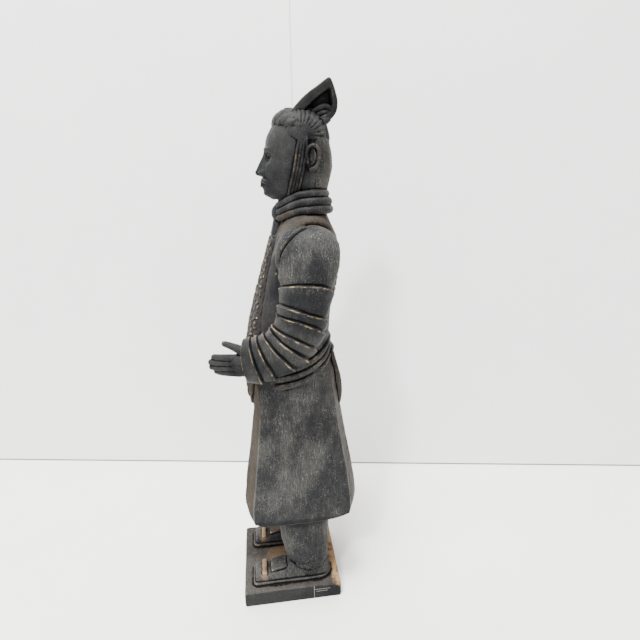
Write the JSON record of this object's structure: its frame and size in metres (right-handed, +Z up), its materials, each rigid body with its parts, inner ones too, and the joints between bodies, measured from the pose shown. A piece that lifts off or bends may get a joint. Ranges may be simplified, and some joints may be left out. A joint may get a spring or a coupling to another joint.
{
  "type": "terracotta warrior statue",
  "caption": "Standing armoured warrior figure in blackened clay on a square plinth, moulded in one piece.",
  "frame": {"origin": "centre of the plinth's flat underside", "axes": "+Z up along the figure, -Y the way the figure faces, +X towards the figure's left hand"},
  "size_m": [0.1176, 0.1093, 0.3993],
  "materials": {
    "blackened_clay": "satin"
  },
  "bodies": {
    "root": {"warrior_statue": "blackened_clay"}
  },
  "joints": []
}
